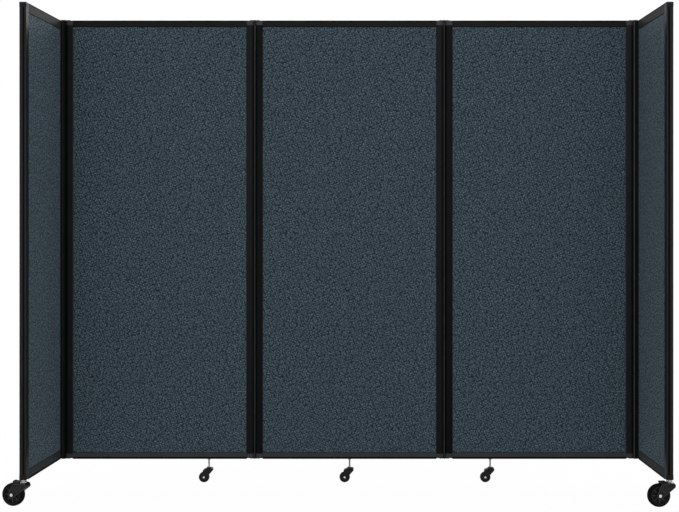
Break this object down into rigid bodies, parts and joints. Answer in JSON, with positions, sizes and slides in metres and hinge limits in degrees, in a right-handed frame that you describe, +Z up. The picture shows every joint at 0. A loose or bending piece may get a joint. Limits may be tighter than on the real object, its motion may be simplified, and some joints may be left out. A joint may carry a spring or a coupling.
{
  "type": "folding privacy screen on casters",
  "caption": "Folding ward privacy screen: wide fabric panels in dark frames, a narrow wing folded forward at each end, link hinges between them, and swivel casters below.",
  "frame": {"origin": "middle of the underside of the box round the whole screen, on the floor", "axes": "+X along the wide panels to the right as seen from the front, +Y towards the back, +Z up"},
  "size_m": [2.7282, 0.483, 2.0433],
  "materials": {
    "frame": "black satin powder coat",
    "rail": "black satin powder coat",
    "link": "matt black",
    "core": "plain board",
    "fabric": "dark slate blue woven cloth with fine speckle",
    "steel": "bright zinc",
    "fork": "black moulded",
    "wheel": "dark moulded",
    "tyre": "matt rubber"
  },
  "bodies": {
    "centre_panel": {"centre_left_stile": "frame", "centre_right_stile": "frame", "centre_top_rail": "rail", "centre_bottom_rail": "rail", "centre_core": "core", "centre_fabric": "fabric", "centre_caster_stem": "steel"},
    "left_panel": {"left_left_stile": "frame", "left_right_stile": "frame", "left_top_rail": "rail", "left_bottom_rail": "rail", "left_core": "core", "left_fabric": "fabric", "left_caster_stem": "steel"},
    "right_panel": {"right_left_stile": "frame", "right_right_stile": "frame", "right_top_rail": "rail", "right_bottom_rail": "rail", "right_core": "core", "right_fabric": "fabric", "right_caster_stem": "steel"},
    "left_wing": {"left_wing_left_stile": "frame", "left_wing_right_stile": "frame", "left_wing_top_rail": "rail", "left_wing_bottom_rail": "rail", "left_wing_core": "core", "left_wing_fabric": "fabric", "left_wing_caster_stem": "steel"},
    "right_wing": {"right_wing_left_stile": "frame", "right_wing_right_stile": "frame", "right_wing_top_rail": "rail", "right_wing_bottom_rail": "rail", "right_wing_core": "core", "right_wing_fabric": "fabric", "right_wing_caster_stem": "steel"},
    "left_link_body": {"left_link": "link"},
    "right_link_body": {"right_link": "link"},
    "left_corner_link_body": {"left_corner_link": "link"},
    "right_corner_link_body": {"right_corner_link": "link"},
    "left_caster_head": {"left_caster_fork": "fork", "left_caster_axle": "steel"},
    "left_caster_roller": {"left_caster_wheel": "wheel"},
    "centre_caster_head": {"centre_caster_fork": "fork", "centre_caster_axle": "steel"},
    "centre_caster_roller": {"centre_caster_wheel": "wheel"},
    "right_caster_head": {"right_caster_fork": "fork", "right_caster_axle": "steel"},
    "right_caster_roller": {"right_caster_wheel": "wheel"},
    "left_wing_caster_head": {"left_wing_caster_fork": "fork", "left_wing_caster_axle": "steel"},
    "left_wing_caster_roller": {"left_wing_caster_wheel": "wheel", "left_wing_caster_tyre": "tyre"},
    "right_wing_caster_head": {"right_wing_caster_fork": "fork", "right_wing_caster_axle": "steel"},
    "right_wing_caster_roller": {"right_wing_caster_wheel": "wheel", "right_wing_caster_tyre": "tyre"},
    "left_wing_pedal": {"left_wing_brake_pedal": "fork"},
    "right_wing_pedal": {"right_wing_brake_pedal": "fork"}
  },
  "joints": [
    {"name": "left_seam_inner_fold", "type": "hinge", "parent": "centre_panel", "child": "left_link_body", "pos_m": [-0.36939, 0.22723, 1.07], "axis": [0, 0, 1], "range_deg": [-90, 90]},
    {"name": "left_seam_outer_fold", "type": "hinge", "parent": "left_link_body", "child": "left_panel", "pos_m": [-0.40139, 0.22723, 1.07], "axis": [0, 0, 1], "range_deg": [-90, 90]},
    {"name": "left_corner_inner_fold", "type": "hinge", "parent": "left_panel", "child": "left_corner_link_body", "pos_m": [-1.20739, 0.22723, 1.07], "axis": [0, 0, -1], "range_deg": [-90, 90]},
    {"name": "left_corner_outer_fold", "type": "hinge", "parent": "left_corner_link_body", "child": "left_wing", "pos_m": [-1.25339, 0.22723, 1.07], "axis": [0, 0, -1], "range_deg": [-2.6, 177.4]},
    {"name": "right_seam_inner_fold", "type": "hinge", "parent": "centre_panel", "child": "right_link_body", "pos_m": [0.43661, 0.22723, 1.07], "axis": [0, 0, 1], "range_deg": [-90, 90]},
    {"name": "right_seam_outer_fold", "type": "hinge", "parent": "right_link_body", "child": "right_panel", "pos_m": [0.46861, 0.22723, 1.07], "axis": [0, 0, 1], "range_deg": [-90, 90]},
    {"name": "right_corner_inner_fold", "type": "hinge", "parent": "right_panel", "child": "right_corner_link_body", "pos_m": [1.27461, 0.22723, 1.07], "axis": [0, 0, -1], "range_deg": [-90, 90]},
    {"name": "right_corner_outer_fold", "type": "hinge", "parent": "right_corner_link_body", "child": "right_wing", "pos_m": [1.32061, 0.22723, 1.07], "axis": [0, 0, -1], "range_deg": [-177.4, 2.6]},
    {"name": "left_caster_swivel", "type": "hinge", "parent": "left_panel", "child": "left_caster_head", "pos_m": [-0.58839, 0.22723, 0], "axis": [0, 0, 1], "continuous": true},
    {"name": "left_wheel_spin", "type": "hinge", "parent": "left_caster_head", "child": "left_caster_roller", "pos_m": [-0.60999, 0.22723, 0.023], "axis": [0, 1, 0], "continuous": true},
    {"name": "centre_caster_swivel", "type": "hinge", "parent": "centre_panel", "child": "centre_caster_head", "pos_m": [0.03361, 0.22723, 0], "axis": [0, 0, 1], "continuous": true},
    {"name": "centre_wheel_spin", "type": "hinge", "parent": "centre_caster_head", "child": "centre_caster_roller", "pos_m": [0.01201, 0.22723, 0.023], "axis": [0, 1, 0], "continuous": true},
    {"name": "right_caster_swivel", "type": "hinge", "parent": "right_panel", "child": "right_caster_head", "pos_m": [0.65561, 0.22723, 0], "axis": [0, 0, 1], "continuous": true},
    {"name": "right_wheel_spin", "type": "hinge", "parent": "right_caster_head", "child": "right_caster_roller", "pos_m": [0.63401, 0.22723, 0.023], "axis": [0, 1, 0], "continuous": true},
    {"name": "left_wing_caster_swivel", "type": "hinge", "parent": "left_wing", "child": "left_wing_caster_head", "pos_m": [-1.27341, -0.21362, 0], "axis": [0, 0, 1], "continuous": true},
    {"name": "left_wing_wheel_spin", "type": "hinge", "parent": "left_wing_caster_head", "child": "left_wing_caster_roller", "pos_m": [-1.31707, -0.20273, 0.0465], "axis": [0.2419, 0.9703, 0], "continuous": true},
    {"name": "right_wing_caster_swivel", "type": "hinge", "parent": "right_wing", "child": "right_wing_caster_head", "pos_m": [1.34063, -0.21362, 0], "axis": [0, 0, 1], "continuous": true},
    {"name": "right_wing_wheel_spin", "type": "hinge", "parent": "right_wing_caster_head", "child": "right_wing_caster_roller", "pos_m": [1.29618, -0.22066, 0.0465], "axis": [-0.1564, 0.9877, 0], "continuous": true},
    {"name": "left_wing_pedal_press", "type": "hinge", "parent": "left_wing_caster_head", "child": "left_wing_pedal", "pos_m": [-1.29475, -0.2083, 0.097], "axis": [-0.2419, -0.9703, 0], "range_deg": [0, 6]},
    {"name": "right_wing_pedal_press", "type": "hinge", "parent": "right_wing_caster_head", "child": "right_wing_pedal", "pos_m": [1.3189, -0.21706, 0.097], "axis": [0.1564, -0.9877, 0], "range_deg": [0, 6]}
  ]
}
